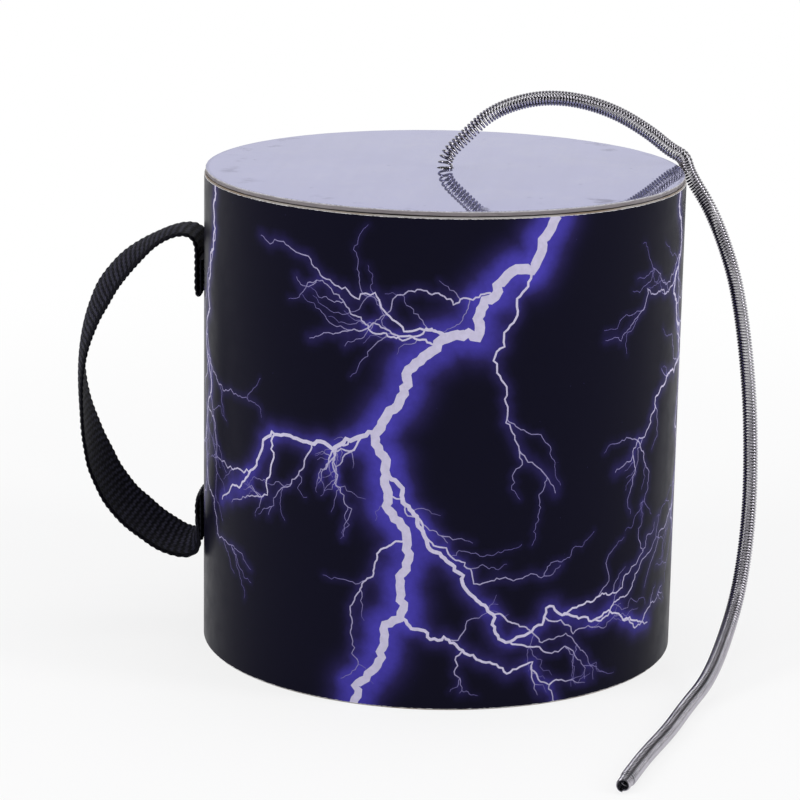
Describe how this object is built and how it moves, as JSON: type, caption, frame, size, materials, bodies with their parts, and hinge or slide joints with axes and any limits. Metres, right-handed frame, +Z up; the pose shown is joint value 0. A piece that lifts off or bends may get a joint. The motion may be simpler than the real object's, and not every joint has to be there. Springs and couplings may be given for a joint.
{
  "type": "thunder tube",
  "caption": "Cardboard drum with a film head, a long coil spring hung from the film's centre and draped over the rim, and a webbing loop handle; shaking it makes a thunder sound.",
  "frame": {"origin": "on the drum's axis, in the plane of the open lower rim that it stands on", "axes": "+Z up along the drum's axis; the handle is on the -X side and the spring crosses the rim on the +X side"},
  "size_m": [0.2901, 0.2779, 0.2337],
  "materials": {
    "board": "spiral-wound greyboard, raw inside and on the cut edges",
    "print": "printed paper with a satin varnish, near black with violet lightning",
    "film": "glossy polyester film, pale lavender grey",
    "spring_steel": "bright drawn spring wire",
    "plated_steel": "plated steel hardware",
    "webbing": "coarse ribbed black webbing"
  },
  "bodies": {
    "drum": {"drum_shell": "board", "print_wrap": "print", "head_ring": "board", "drumhead_film": "film", "anchor_washer": "plated_steel", "upper_rivet": "plated_steel", "lower_rivet": "plated_steel", "upper_rivet_washer": "plated_steel", "lower_rivet_washer": "plated_steel"},
    "anchor": {"anchor_pin": "plated_steel"},
    "spring": {"spring_coil": "spring_steel"},
    "handle": {"strap": "webbing"}
  },
  "joints": [
    {"name": "spring_swivel", "type": "hinge", "parent": "drum", "child": "anchor", "pos_m": [0, 0, 0.20225], "axis": [0, 0, 1], "range_deg": [-120, 120]},
    {"name": "spring_swing", "type": "hinge", "parent": "anchor", "child": "spring", "pos_m": [0, 0, 0.20225], "axis": [0, -1, 0], "range_deg": [0, 75], "deforming": ["spring_coil"]},
    {"name": "handle_swing", "type": "hinge", "parent": "drum", "child": "handle", "pos_m": [-0.1003, 0, 0.101], "axis": [0, 0, 1], "range_deg": [-60, 60], "deforming": ["strap"]}
  ]
}
